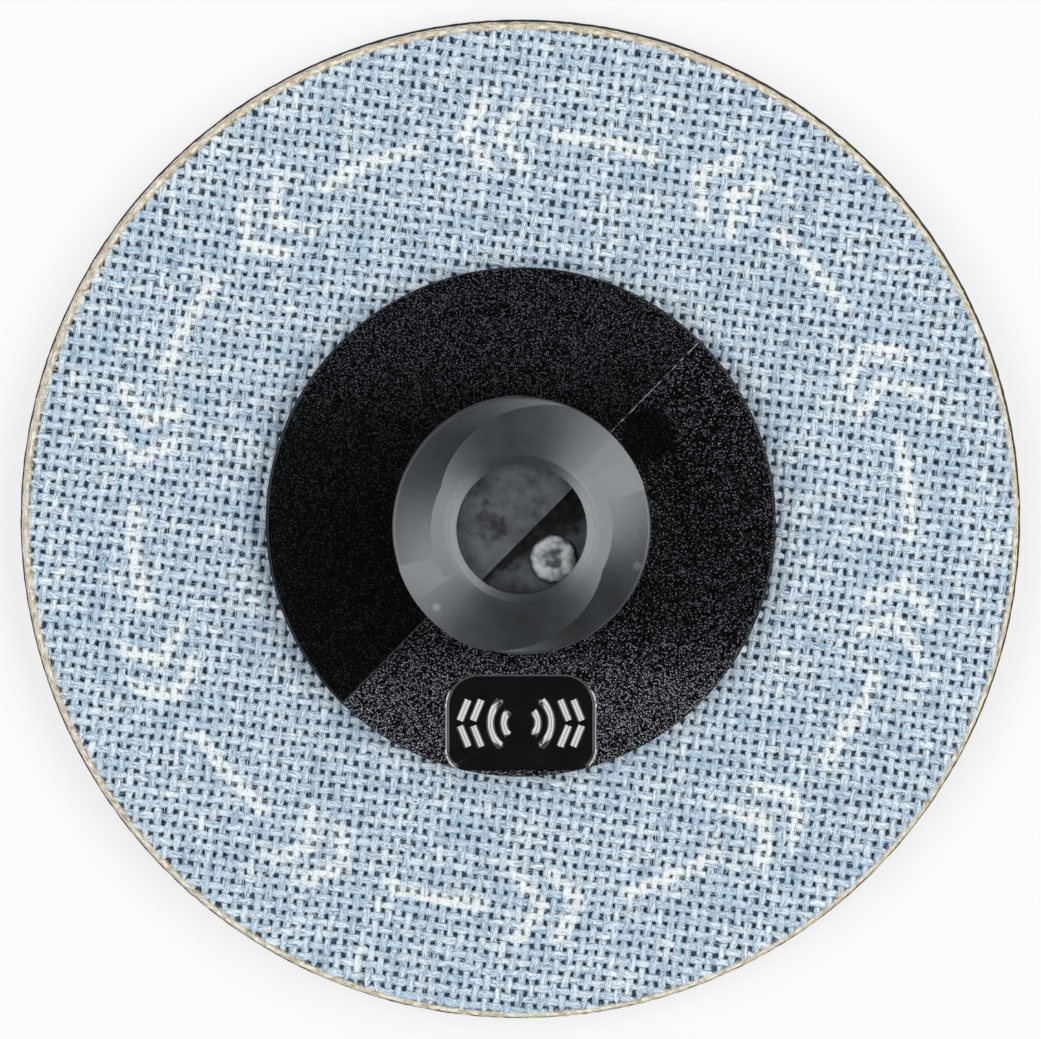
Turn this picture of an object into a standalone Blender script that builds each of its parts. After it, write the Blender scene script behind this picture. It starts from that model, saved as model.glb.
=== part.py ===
# Quick-change sanding disc: a punched disc of coated abrasive cloth, stiffened with a second
# woven ply, and a moulded button with a two-start threaded stem fixed to its back.
# Metres, +Z up. The disc lies on its grain, and the origin is on its axis, on the plane
# that the grain tips stand on. Seen from above with +Y upwards it looks as a buyer sees its back.

import math
import random

import bmesh
import bpy
from mathutils import Matrix, Vector
from mathutils.geometry import delaunay_2d_cdt

# Driving dimensions, in metres, degrees or counts.
disc_radius = 0.0250
edge_set_back = 0.00048

coat_thickness = 0.00085
grain_relief = 0.00045
grain_spacing = 0.00124
grain_shift_share = 0.28
grain_tip_share = 0.35
grain_seed = 36

grain_cloth_thickness = 0.00050
laminate_glue_thickness = 0.00010
back_cloth_thickness = 0.00052
layer_gap = 0.00002

yarn_pitch = 0.000606
yarn_crest_width = 0.00036
yarn_groove_depth = 0.00014
yarn_turn_degrees = -7.0

flange_radius = 0.01269
flange_rim_thickness = 0.00090
flange_root_thickness = 0.00130
flange_rim_round = 0.00030
hub_glue_thickness = 0.00012
hub_glue_margin = 0.00050

stem_height = 0.0060
stem_core_radius = 0.00445
stem_root_round = 0.00040
end_ring_radius = 0.00435
crown_slope_degrees = 28.0

thread_crest_radius = 0.00635
thread_lead = 0.0060
thread_starts = 2
thread_root_width = 0.0020
thread_crest_width = 0.0009
thread_crest_round = 0.00018
thread_start_degrees = 175.0

recess_radius = 0.00320
recess_lip_round = 0.00060
recess_depth = 0.00095
floor_step_depth = 0.00040
floor_step_offset = 0.00040
parting_degrees = 45.4

gate_radius = 0.00085
gate_height = 0.00042
gate_distance = 0.00220

pad_width = 0.00715
pad_length = 0.00460
pad_rim_margin = 0.00038
pad_floor_thickness = 0.00072
pad_inner_corner = 0.00150
pad_outer_corner = 0.00100

turned_steps = 80
rim_steps = 128
thread_steps_per_turn = 48

# How far a cutter or a joined piece runs past the surface that it meets.
overrun = 0.0004
# Shapes that are joined keep their faces this far apart, so that no two lie in one plane.
face_offset = 0.00002
weld_distance = 1e-7

# Heights of the stack, from the grain tips up.
coat_top = coat_thickness
grain_cloth_bottom = coat_top + layer_gap
grain_cloth_top = grain_cloth_bottom + grain_cloth_thickness
laminate_glue_bottom = grain_cloth_top + layer_gap
laminate_glue_top = laminate_glue_bottom + laminate_glue_thickness
back_cloth_bottom = laminate_glue_top + layer_gap
back_cloth_top = back_cloth_bottom + back_cloth_thickness
hub_glue_bottom = back_cloth_top + layer_gap
hub_glue_top = hub_glue_bottom + hub_glue_thickness
flange_bottom = hub_glue_top + layer_gap
flange_root_top = flange_bottom + flange_root_thickness
flange_rim_top = flange_bottom + flange_rim_thickness
stem_top = flange_root_top + stem_height


def edge_radius(z):
    """The punched edge leans in from the grain side to the back, through every ply."""
    return disc_radius - edge_set_back * (z - coat_top) / (back_cloth_top - coat_top)


def clear_scene():
    for obj in list(bpy.data.objects):
        bpy.data.objects.remove(obj)


def new_collection(name, rendered=True):
    collection = bpy.data.collections.new(name)
    bpy.context.scene.collection.children.link(collection)
    collection.hide_render = not rendered
    return collection


def material(name, colour, roughness, metallic=0.0):
    made = bpy.data.materials.new(name)
    made.use_nodes = True
    shader = made.node_tree.nodes["Principled BSDF"]
    shader.inputs["Base Color"].default_value = (*colour, 1.0)
    shader.inputs["Roughness"].default_value = roughness
    shader.inputs["Metallic"].default_value = metallic
    return made


def add_object(name, mesh, collection, finish=None):
    obj = bpy.data.objects.new(name, mesh)
    collection.objects.link(obj)
    if finish is not None:
        mesh.materials.append(finish)
    if collection.hide_render:
        obj.hide_render = True
        obj.display_type = "WIRE"
    return obj


def arc(centre, radius, start_degrees, end_degrees, steps):
    """Points of an arc in a plane, both ends included."""
    span = end_degrees - start_degrees
    angles = [math.radians(start_degrees + span * i / steps) for i in range(steps + 1)]
    return [(centre[0] + radius * math.cos(a), centre[1] + radius * math.sin(a)) for a in angles]


def turned(name, profile, steps, collection, finish=None):
    """A profile of (radius, z) points, from the axis down the outside to the axis, turned round Z."""
    mesh = bpy.data.meshes.new(name)
    edges = [(i, i + 1) for i in range(len(profile) - 1)]
    mesh.from_pydata([(r, 0.0, z) for r, z in profile], edges, [])
    obj = add_object(name, mesh, collection, finish)
    screw = obj.modifiers.new("turn", "SCREW")
    screw.axis = "Z"
    screw.steps = steps
    screw.render_steps = steps
    screw.use_merge_vertices = True
    screw.merge_threshold = weld_distance
    return obj


def prism(name, outline, low, high, collection):
    """A flat (x, y) outline stood between two heights."""
    bm = bmesh.new()
    base = bm.faces.new([bm.verts.new((x, y, low)) for x, y in outline])
    grown = bmesh.ops.extrude_face_region(bm, geom=[base])
    raised = [v for v in grown["geom"] if isinstance(v, bmesh.types.BMVert)]
    bmesh.ops.translate(bm, verts=raised, vec=(0.0, 0.0, high - low))
    bmesh.ops.recalc_face_normals(bm, faces=bm.faces)
    mesh = bpy.data.meshes.new(name)
    bm.to_mesh(mesh)
    bm.free()
    return add_object(name, mesh, collection)


def boolean(obj, other, operation):
    cut = obj.modifiers.new(other.name, "BOOLEAN")
    cut.operation = operation
    cut.object = other


def finished(obj, sharp_degrees=24.0):
    """Works the modifiers into the mesh, then shades it smooth except at its sharp edges."""
    graph = bpy.context.evaluated_depsgraph_get()
    mesh = bpy.data.meshes.new_from_object(obj.evaluated_get(graph))
    mesh.name = obj.name
    obj.modifiers.clear()
    obj.data = mesh
    mesh.shade_smooth()
    mesh.set_sharp_from_angle(angle=math.radians(sharp_degrees))
    return obj


def grain_places(dice):
    """Even places round the rim, and a shaken triangular lattice inside it."""
    rim = arc((0.0, 0.0), disc_radius, 0, 360, rim_steps)[:-1]
    row_step = grain_spacing * math.sqrt(3) / 2
    rows = math.ceil(disc_radius / row_step)
    columns = math.ceil(disc_radius / grain_spacing) + 1
    shift = grain_shift_share * grain_spacing
    inner = []
    for row in range(-rows, rows + 1):
        for column in range(-columns, columns + 1):
            x = (column + 0.5 * (row % 2)) * grain_spacing + dice.uniform(-shift, shift)
            y = row * row_step + dice.uniform(-shift, shift)
            if math.hypot(x, y) < disc_radius - 0.6 * grain_spacing:
                inner.append((x, y))
    return rim + inner


def grain_coat(collection, finish):
    """The resin coat, whose underside is angular grains that stand on their tips."""
    dice = random.Random(grain_seed)
    flat = [Vector(place) for place in grain_places(dice)]
    places, _, faces, *_ = delaunay_2d_cdt(flat, [], [], 0, weld_distance)
    bm = bmesh.new()
    verts = []
    for place in places:
        lift = max(0.0, dice.uniform(-grain_tip_share, 1.0))
        verts.append(bm.verts.new((place.x, place.y, grain_relief * lift)))
    for face in faces:
        bm.faces.new([verts[i] for i in face])
    rim = [e for e in bm.edges if e.is_boundary]
    grown = bmesh.ops.extrude_edge_only(bm, edges=rim)
    for v in grown["geom"]:
        if isinstance(v, bmesh.types.BMVert):
            v.co.z = coat_top
    bmesh.ops.edgeloop_fill(bm, edges=[e for e in bm.edges if e.is_boundary])
    bmesh.ops.recalc_face_normals(bm, faces=bm.faces)
    mesh = bpy.data.meshes.new("grain_coat")
    bm.to_mesh(mesh)
    bm.free()
    return add_object("grain_coat", mesh, collection, finish)


def ply(name, low, high, collection, finish=None):
    """A flat round ply whose edge leans with the punched edge."""
    profile = [(0.0, high), (edge_radius(high), high), (edge_radius(low), low), (0.0, low)]
    return turned(name, profile, rim_steps, collection, finish)


def back_cloth(collection, cutters, finish):
    """The woven back ply, its yarns as ridges that run the cloth's own way."""
    half = yarn_pitch * math.ceil(disc_radius / yarn_pitch + 1)
    groove = back_cloth_top - yarn_groove_depth
    ridges = []
    count = round(2 * half / yarn_pitch)
    for i in range(count):
        middle = -half + (i + 0.5) * yarn_pitch
        ridges.append((middle - yarn_pitch / 2, groove))
        ridges.append((middle - yarn_crest_width / 2, back_cloth_top))
        ridges.append((middle + yarn_crest_width / 2, back_cloth_top))
    ridges.append((half, groove))
    outline = ridges + [(half, back_cloth_bottom - overrun), (-half, back_cloth_bottom - overrun)]
    ribbed = prism("ribbed_cloth", outline, -half, half, cutters)
    # The outline's height becomes Z, and the ridges are laid along the yarns.
    stand = Matrix.Rotation(math.radians(90), 4, "X")
    lay = Matrix.Rotation(math.radians(90 + yarn_turn_degrees), 4, "Z")
    ribbed.data.transform(lay @ stand)
    cloth = ply("back_cloth", back_cloth_bottom, back_cloth_top + overrun, collection, finish)
    boolean(cloth, ribbed, "INTERSECT")
    return cloth


def hub_glue(collection, finish):
    radius = flange_radius - hub_glue_margin
    profile = [
        (0.0, hub_glue_top),
        (radius, hub_glue_top),
        (radius, hub_glue_bottom),
        (0.0, hub_glue_bottom),
    ]
    return turned("hub_glue", profile, turned_steps, collection, finish)


def button_profile():
    """Half section of the button without its thread: recessed end, stem, flange and rim."""
    floor = stem_top - recess_depth
    lip_centre = (recess_radius + recess_lip_round, stem_top - recess_lip_round)
    lip = arc(lip_centre, recess_lip_round, 180, 90, 5)
    end_drop = (stem_core_radius - end_ring_radius) * math.tan(math.radians(crown_slope_degrees))
    root_centre = (stem_core_radius + stem_root_round, flange_root_top + stem_root_round)
    root = arc(root_centre, stem_root_round, 180, 270, 2)
    rim_centre = (flange_radius - flange_rim_round, flange_rim_top - flange_rim_round)
    rim = arc(rim_centre, flange_rim_round, 90, 0, 4)
    return [
        (0.0, floor),
        (recess_radius, floor),
        *lip,
        (end_ring_radius, stem_top),
        (stem_core_radius, stem_top - end_drop - face_offset),
        *root,
        *rim,
        (flange_radius, flange_bottom),
        (0.0, flange_bottom),
    ]


def thread_section():
    """One ridge's closed section, as (radius, height from its middle), sunk into the core."""
    flank = (thread_root_width - thread_crest_width) / 2 / (thread_crest_radius - stem_core_radius)
    inner = stem_core_radius - overrun
    shoulder = thread_crest_radius - thread_crest_round
    half_root = thread_crest_width / 2 + flank * (thread_crest_radius - inner)
    half_shoulder = thread_crest_width / 2 + flank * thread_crest_round
    half_crest = thread_crest_width / 2 - thread_crest_round / 2
    upper = [(inner, half_root), (shoulder, half_shoulder), (thread_crest_radius, half_crest)]
    return upper + [(r, -z) for r, z in reversed(upper)]


def thread_ridge(number, cutters):
    """One start of the thread: its section carried up the helix and closed at both ends."""
    low = flange_bottom + flange_rim_thickness / 2 - thread_root_width
    high = stem_top + thread_root_width
    turns = (high - low) / thread_lead
    steps = round(thread_steps_per_turn * turns)
    # The ridge leaves the end of the stem where its lower root edge meets the end face.
    start_z = stem_top + thread_root_width / 2
    start_angle = math.radians(thread_start_degrees + 360.0 * number / thread_starts)
    sections = []
    bm = bmesh.new()
    for i in range(steps + 1):
        z = low + (high - low) * i / steps
        angle = start_angle + 2 * math.pi * (z - start_z) / thread_lead
        turn = Matrix.Rotation(angle, 3, "Z")
        sections.append([bm.verts.new(turn @ Vector((r, 0.0, z + dz))) for r, dz in thread_section()])
    for lower, upper in zip(sections, sections[1:]):
        for k in range(len(lower)):
            following = (k + 1) % len(lower)
            bm.faces.new((lower[k], lower[following], upper[following], upper[k]))
    bm.faces.new(sections[0])
    bm.faces.new(sections[-1])
    bmesh.ops.recalc_face_normals(bm, faces=bm.faces)
    mesh = bpy.data.meshes.new(f"thread_ridge_{number + 1}")
    bm.to_mesh(mesh)
    bm.free()
    return add_object(f"thread_ridge_{number + 1}", mesh, cutters)


def thread_envelope(cutters):
    """The space that the ridges may fill: under the sloping crown and above the flange's middle."""
    slope = math.tan(math.radians(crown_slope_degrees))
    outer = thread_crest_radius + overrun
    top = stem_top - 2 * face_offset
    crown_edge = end_ring_radius + (stem_top - top) / slope
    low = flange_bottom + flange_rim_thickness / 2
    profile = [
        (0.0, top),
        (crown_edge, top),
        (outer, stem_top - (outer - end_ring_radius) * slope),
        (outer, low),
        (0.0, low),
    ]
    return turned("thread_envelope", profile, turned_steps, cutters)


def floor_step(cutters):
    """The deeper half of the end recess, on one side of the mould's parting plane."""
    radius = recess_radius - face_offset
    away = parting_degrees - 90.0
    half_span = math.degrees(math.acos(floor_step_offset / radius))
    outline = arc((0.0, 0.0), radius, away - half_span, away + half_span, 24)
    floor = stem_top - recess_depth
    return prism("floor_step", outline, floor - floor_step_depth, floor + overrun, cutters)


def gate_stub(cutters):
    """The broken-off stub of the moulding gate, on the recess's deeper floor."""
    away = math.radians(parting_degrees - 90.0)
    floor = stem_top - recess_depth - floor_step_depth
    bm = bmesh.new()
    bmesh.ops.create_cone(
        bm,
        cap_ends=True,
        segments=14,
        radius1=gate_radius,
        radius2=gate_radius * 0.8,
        depth=gate_height + overrun,
    )
    middle = floor - overrun + (gate_height + overrun) / 2
    place = (gate_distance * math.cos(away), gate_distance * math.sin(away), middle)
    bmesh.ops.translate(bm, verts=bm.verts, vec=place)
    mesh = bpy.data.meshes.new("gate_stub")
    bm.to_mesh(mesh)
    bm.free()
    return add_object("gate_stub", mesh, cutters)


def mark_pad(cutters):
    """The polished sunk pad near the flange's edge, with wider corners towards the stem."""
    outer = -(flange_radius - pad_rim_margin)
    inner = outer + pad_length
    side = pad_width / 2
    outline = [
        *arc((side - pad_inner_corner, inner - pad_inner_corner), pad_inner_corner, 0, 90, 6),
        *arc((-side + pad_inner_corner, inner - pad_inner_corner), pad_inner_corner, 90, 180, 6),
        *arc((-side + pad_outer_corner, outer + pad_outer_corner), pad_outer_corner, 180, 270, 6),
        *arc((side - pad_outer_corner, outer + pad_outer_corner), pad_outer_corner, 270, 360, 6),
    ]
    floor = flange_bottom + pad_floor_thickness
    return prism("mark_pad", outline, floor, flange_root_top + overrun, cutters)


def hub_button(collection, cutters, finish):
    """The moulded button: flange, stem, two-start thread, recessed end and sunk pad, one solid."""
    button = turned("hub_button", button_profile(), turned_steps, collection, finish)
    envelope = thread_envelope(cutters)
    for number in range(thread_starts):
        ridge = thread_ridge(number, cutters)
        boolean(ridge, envelope, "INTERSECT")
        boolean(button, ridge, "UNION")
    boolean(button, floor_step(cutters), "DIFFERENCE")
    boolean(button, gate_stub(cutters), "UNION")
    boolean(button, mark_pad(cutters), "DIFFERENCE")
    return button


def build():
    clear_scene()
    parts = new_collection("sanding_disc")
    cutters = new_collection("cutters", rendered=False)
    coat_finish = material("grain and resin", (0.020, 0.022, 0.028), 0.55)
    raw_cloth_finish = material("raw cotton cloth", (0.62, 0.58, 0.46), 0.90)
    glue_finish = material("laminating glue", (0.30, 0.24, 0.14), 0.50)
    blue_cloth_finish = material("pale blue woven cloth", (0.44, 0.56, 0.64), 0.90)
    hub_glue_finish = material("hub glue", (0.10, 0.10, 0.11), 0.40)
    plastic_finish = material("black moulded plastic", (0.012, 0.013, 0.016), 0.45)

    grain_coat(parts, coat_finish)
    finished(ply("grain_cloth", grain_cloth_bottom, grain_cloth_top, parts, raw_cloth_finish))
    finished(ply("laminate_glue", laminate_glue_bottom, laminate_glue_top, parts, glue_finish))
    finished(back_cloth(parts, cutters, blue_cloth_finish))
    finished(hub_glue(parts, hub_glue_finish))
    button = finished(hub_button(parts, cutters, plastic_finish))
    even_normals = button.modifiers.new("even normals", "WEIGHTED_NORMAL")
    even_normals.keep_sharp = True


build()
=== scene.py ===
import itertools
import math

import bpy
import numpy as np
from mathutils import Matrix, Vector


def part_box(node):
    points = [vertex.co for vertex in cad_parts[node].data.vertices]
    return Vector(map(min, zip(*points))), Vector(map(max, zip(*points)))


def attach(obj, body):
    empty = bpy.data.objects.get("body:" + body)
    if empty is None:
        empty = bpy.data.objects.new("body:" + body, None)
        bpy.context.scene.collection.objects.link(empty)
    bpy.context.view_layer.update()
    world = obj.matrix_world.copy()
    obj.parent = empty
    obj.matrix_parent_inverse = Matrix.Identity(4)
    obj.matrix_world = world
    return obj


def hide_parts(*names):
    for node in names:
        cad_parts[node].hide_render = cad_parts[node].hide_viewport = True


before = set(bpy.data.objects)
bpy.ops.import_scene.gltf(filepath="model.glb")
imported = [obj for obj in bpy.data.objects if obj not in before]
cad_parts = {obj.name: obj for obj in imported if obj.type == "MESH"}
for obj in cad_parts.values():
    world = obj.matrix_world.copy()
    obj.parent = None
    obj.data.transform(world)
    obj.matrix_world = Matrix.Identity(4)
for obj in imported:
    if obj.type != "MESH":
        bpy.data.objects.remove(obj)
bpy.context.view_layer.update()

mm = 0.001
up = np.array([0.0, 0.0, 1.0])
scene = bpy.context.scene
print("frame loaded:", sorted(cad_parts))

# heights and radii that the solids already fix, read from their boxes
coatLow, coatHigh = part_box("grain_coat")
grainClothLow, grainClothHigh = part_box("grain_cloth")
glueLow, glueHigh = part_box("laminate_glue")
backLow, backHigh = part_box("back_cloth")
hubLow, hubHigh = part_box("hub_button")
discRadius = coatHigh.x
backRadius = backHigh.x
flangeRadius = hubHigh.x


# shader writing

def srgb(red, green, blue):
    # 0..255 display values to the linear colour that a shader socket takes
    share = np.array([red, green, blue]) / 255
    linear = np.where(share <= 0.04045, share / 12.92, ((share + 0.055) / 1.055) ** 2.4)
    return (*linear.tolist(), 1.0)


def mathNode(operation):
    # a method that adds one Math node, fed by the value itself and then by whatever else it is given
    return lambda *values: values[0].paint.sum(operation, *values)


class Wire:
    # a shader value; arithmetic on it adds Math nodes to its material
    def __init__(self, paint, socket):
        self.paint = paint
        self.socket = socket

    __add__ = __radd__ = mathNode("ADD")
    __sub__ = mathNode("SUBTRACT")
    __mul__ = __rmul__ = mathNode("MULTIPLY")
    __truediv__ = mathNode("DIVIDE")
    __mod__ = mathNode("FLOORED_MODULO")
    __abs__ = mathNode("ABSOLUTE")
    __gt__ = mathNode("GREATER_THAN")
    largest = mathNode("MAXIMUM")

    def __rsub__(self, other):
        return self.paint.sum("SUBTRACT", other, self)

    def rise(self, start, end):
        # 0 before start, 1 after end, and a smooth step between
        settings = {"interpolation_type": "SMOOTHSTEP"}
        sockets = {"Value": self, "From Min": start, "From Max": end}
        return self.paint.add("ShaderNodeMapRange", settings, sockets)


class Paint:
    # one material, or the world, and the nodes that it is built from
    def __init__(self, name, owner=None, shader="Principled BSDF", **fixed):
        self.owner = owner or bpy.data.materials.new(name)
        self.owner.use_nodes = True
        self.tree = self.owner.node_tree
        self.shader = self.tree.nodes[shader]
        for socket, value in fixed.items():
            self.shader.inputs[socket.replace("_", " ")].default_value = value

    def add(self, kind, settings=None, sockets=None, output=0):
        # adds any node: its settings first, then its socket values or links
        node = self.tree.nodes.new(kind)
        for key, value in (settings or {}).items():
            setattr(node, key, value)
        for key, value in (sockets or {}).items():
            if isinstance(value, Wire):
                self.tree.links.new(value.socket, node.inputs[key])
            else:
                node.inputs[key].default_value = value
        return Wire(self, node.outputs[output])

    def sum(self, operation, *values):
        return self.add("ShaderNodeMath", {"operation": operation}, dict(enumerate(values)))

    def parts(self, vector):
        return [self.add("ShaderNodeSeparateXYZ", None, {0: vector}, axis) for axis in "XYZ"]

    def place(self):
        # Object coordinates in millimetres, as a vector and as its three parts
        at = self.add("ShaderNodeTexCoord", output="Object")
        scaled = self.add("ShaderNodeVectorMath", {"operation": "SCALE"}, {0: at, "Scale": 1 / mm})
        return scaled, *self.parts(scaled)

    def strand(self):
        # the piece's own map: millimetres along a strand, and strand number plus the share round it
        return self.parts(self.add("ShaderNodeUVMap", {"uv_map": "strand"}))[:2]

    def vector(self, x, y, z):
        return self.add("ShaderNodeCombineXYZ", None, {0: x, 1: y, 2: z})

    def distance(self, x, y):
        return self.sum("SQRT", x * x + y * y)

    def noise(self, vector, scale, detail=2.0, rough=0.5):
        sockets = {"Vector": vector, "Scale": scale, "Detail": detail, "Roughness": rough}
        return self.add("ShaderNodeTexNoise", None, sockets)

    def chance(self, number):
        # one random value for each whole number
        whole = self.sum("FLOOR", number)
        return self.add("ShaderNodeTexWhiteNoise", {"noise_dimensions": "1D"}, {"W": whole})

    def mix(self, share, under, over):
        return self.add("ShaderNodeMix", {"data_type": "RGBA"}, {0: share, 6: under, 7: over}, 2)

    def feed(self, socket, wire):
        self.tree.links.new(wire.socket, self.shader.inputs[socket])

    def colour(self, share, under, over):
        self.feed("Base Color", self.mix(share, under, over))

    def bump(self, height, depth):
        self.feed("Normal", self.add("ShaderNodeBump", None, {"Height": height, "Distance": depth}))


# mesh writing

def addMesh(name, points, quads, tris, quadUv=None):
    # whole arrays into one mesh; quadUv has a row for each corner of each quad
    corners = np.concatenate([quads.ravel(), tris.ravel()])
    sizes = np.concatenate([np.full(len(quads), 4), np.full(len(tris), 3)])
    starts = np.concatenate([[0], np.cumsum(sizes)[:-1]])
    mesh = bpy.data.meshes.new(name)
    mesh.vertices.add(len(points))
    mesh.vertices.foreach_set("co", np.asarray(points, np.float32).ravel())
    mesh.loops.add(len(corners))
    mesh.loops.foreach_set("vertex_index", corners.astype(np.int32))
    mesh.polygons.add(len(sizes))
    mesh.polygons.foreach_set("loop_start", starts.astype(np.int32))
    mesh.update(calc_edges=True)
    if quadUv is not None:
        whole = np.concatenate([quadUv, np.zeros((tris.size, 2))])
        mesh.uv_layers.new(name="strand").uv.foreach_set("vector", whole.astype(np.float32).ravel())
    piece = bpy.data.objects.new(name, mesh)
    scene.collection.objects.link(piece)
    return piece


def dress(piece, paint, slot, *nodes, sharp=None):
    # a finished piece: shaded smooth, painted, riding on the one body, standing for its nodes
    piece.data.shade_smooth()
    if sharp is not None:
        piece.data.set_sharp_from_angle(angle=math.radians(sharp))
    if paint is not None:
        piece.data.materials.append(paint.owner)
    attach(piece, "root")
    if nodes:
        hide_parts(*nodes)
    return piece


def loft(rings):
    # rings is (strand, step, corner, xyz): walls join the steps, and fans close both ends
    strands, steps, corners, _ = rings.shape
    first = (np.arange(strands) * steps * corners)[:, None, None]
    step = (np.arange(steps - 1) * corners)[None, :, None]
    corner = np.arange(corners)
    following = (corner + 1) % corners
    a = first + step + corner
    b = first + step + following
    quads = np.stack([a, b, b + corners, a + corners], -1).reshape(-1, 4)
    start = first[:, 0] + corner
    startNext = first[:, 0] + following
    end = (steps - 1) * corners
    middle = strands * steps * corners + np.arange(strands)[:, None] + 0 * corner
    fans = [[middle, startNext, start], [middle + strands, start + end, startNext + end]]
    tris = np.concatenate([np.stack(fan, -1).reshape(-1, 3) for fan in fans])
    points = np.concatenate([rings.reshape(-1, 3), rings[:, 0].mean(1), rings[:, -1].mean(1)])
    return points, quads, tris


def fullTurn(count):
    # even angles once round, from 0
    return np.linspace(0, 2 * np.pi, count, endpoint=False)


def polar(radius, turn, *height):
    # points at a radius and an angle, and at a height where one is given
    return np.stack(np.broadcast_arrays(radius * np.cos(turn), radius * np.sin(turn), *height), -1)


def turned(radii, heights, angles):
    # rings of a profile turned about Z; radii and heights are (row,) or (row, angle)
    radii, heights = (np.reshape(rows, (len(rows), -1)) for rows in (radii, heights))
    return polar(radii, angles, heights)[None]


def tubes(paths, halfWidth, halfHeight, section, numbers):
    # a section of unit corners (across, over) carried along each path of (strand, step, xyz)
    strands, steps, _ = paths.shape
    corners = len(section)
    along = np.gradient(paths, axis=1)
    along /= np.linalg.norm(along, axis=2, keepdims=True)
    side = np.cross(up, along)
    side /= np.linalg.norm(side, axis=2, keepdims=True)
    over = np.cross(along, side)
    across = halfWidth[:, :, None, None] * section[:, 0, None] * side[:, :, None, :]
    rise = halfHeight[:, :, None, None] * section[:, 1, None] * over[:, :, None, :]
    points, quads, tris = loft(paths[:, :, None, :] + across + rise)
    # map: length run so far, and the strand's number plus the share of the way round
    run = np.linalg.norm(np.diff(paths, axis=1), axis=2).cumsum(1) / mm
    run = np.concatenate([np.zeros((strands, 1)), run], 1)
    shape = (strands, steps - 1, corners)
    u0 = np.broadcast_to(run[:, :-1, None], shape)
    u1 = np.broadcast_to(run[:, 1:, None], shape)
    v0 = np.broadcast_to(numbers[:, None, None] + np.arange(corners) / (corners + 0.01), shape)
    v1 = v0 + 1 / (corners + 0.01)
    return points, quads, tris, np.stack([u0, v0, u0, v1, u1, v1, u1, v0], -1).reshape(-1, 2)


def together(strands):
    # several results of tubes as one
    points, quads, tris, maps = zip(*strands)
    firsts = np.cumsum([0] + [len(each) for each in points])
    quads = [each + first for each, first in zip(quads, firsts)]
    tris = [each + first for each, first in zip(tris, firsts)]
    return [np.concatenate(each) for each in (points, quads, tris, maps)]


def regular(corners):
    # the unit section of a round strand
    return polar(1, fullTurn(corners) - np.pi / 2)


def arc(centreRadius, centreHeight, radius, start, end, steps):
    # points of a round, from one angle in degrees to another
    return [centreRadius, centreHeight] + polar(radius, np.radians(np.linspace(start, end, steps)))


def waves(along, length, dice, terms=5):
    # smooth noise from about -1 to 1: a sum of sines whose lengths lie round the given one
    turns = dice.uniform(0.6, 1.7, terms) / length
    starts = dice.uniform(0, 2 * np.pi, terms)
    return np.sin(np.multiply.outer(along, 2 * np.pi * turns) + starts).sum(-1) / math.sqrt(terms)


def fieldWaves(x, y, length, dice, terms=9):
    # the same over a plane: sines that run in many directions
    way = dice.uniform(0, 2 * np.pi, terms)
    turns = dice.uniform(0.6, 1.6, terms) / length
    starts = dice.uniform(0, 2 * np.pi, terms)
    along = np.multiply.outer(x, np.cos(way)) + np.multiply.outer(y, np.sin(way))
    return np.sin(2 * np.pi * along * turns + starts).sum(-1) / math.sqrt(terms)


# camera: nearly overhead, standing towards +Y so that the stem's end moves down the picture

view = {"away": 400 * mm, "towardsTop": 20 * mm, "towardsLeft": 2.5 * mm, "frameWidth": 52.08 * mm}

cameraData = bpy.data.cameras.new("camera")
cameraData.sensor_width = 36
cameraData.lens = 36 * view["away"] / view["frameWidth"]
camera = bpy.data.objects.new("camera", cameraData)
camera.location = (-view["towardsLeft"], view["towardsTop"], view["away"])
leanBack = -math.atan2(view["towardsTop"], view["away"])
leanSide = -math.atan2(view["towardsLeft"], view["away"])
camera.rotation_euler = (leanBack, leanSide, 0)
scene.collection.objects.link(camera)
scene.camera = camera
print("camera placed")


# back ply: plain weave of spun yarns over a dark blue size, with a crushed cream edge

cloth = {
    "yarnHeight": 0.165 * mm,
    "crimp": 0.056 * mm,
    "turn": math.radians(-7.5),
    "stepsPerCrossing": 4,
    "edgeInset": 0.07 * mm,
    "cutTaper": 0.42 * mm,
    "fillDrop": 0.235 * mm,
    "seed": 11,
    "bowSeeds": (3, 4),
    "firstNumber": 200,
}
cloth["middle"] = backHigh.z - cloth["crimp"] - cloth["yarnHeight"] / 2

# the two sets of yarns: the place of their lines, and where and how they rise over the other set
loom = {
    "warp": {"pitch": 0.544 * mm, "width": 0.405 * mm, "start": 0.5, "rises": 0.0, "sign": 1},
    "weft": {"pitch": 0.605 * mm, "width": 0.450 * mm, "start": 0.0, "rises": 0.5, "sign": -1},
}
loom["warp"]["crossing"] = loom["weft"]["pitch"]
loom["weft"]["crossing"] = loom["warp"]["pitch"]
yarnSection = np.array([[0, -1], [1, -0.15], [0.55, 0.92], [-0.55, 0.92], [-1, -0.15]])

# the punched edge leans in towards the back, and its layers lie a little off centre
edge = {
    "coatLip": 0.14 * mm,
    "shift": np.array([-0.030, -0.005]) * mm,
    "drift": np.array([0.050, -0.045]) * mm,
    "grainPlyRough": 0.018 * mm,
    "glueRough": 0.020 * mm,
    "backPlyRough": 0.024 * mm,
    "columns": 900,
    "innerRadius": 22.8 * mm,
    "seed": 21,
}


def leanShare(z):
    # how far up the edge a height lies: 0 at the coat's top, 1 at the back's crests
    return (z - coatHigh.z) / (backHigh.z - coatHigh.z)


def edgeRadius(z):
    # from the coat's lip, in a straight line to the back's smaller radius
    start = discRadius - edge["coatLip"]
    return start + (backRadius - start) * leanShare(z)


def edgeShift(z):
    # the edge's centre at a height: off the axis at the coat, and drifting evenly from there
    return edge["shift"] + np.multiply.outer(leanShare(z), edge["drift"])


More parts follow.
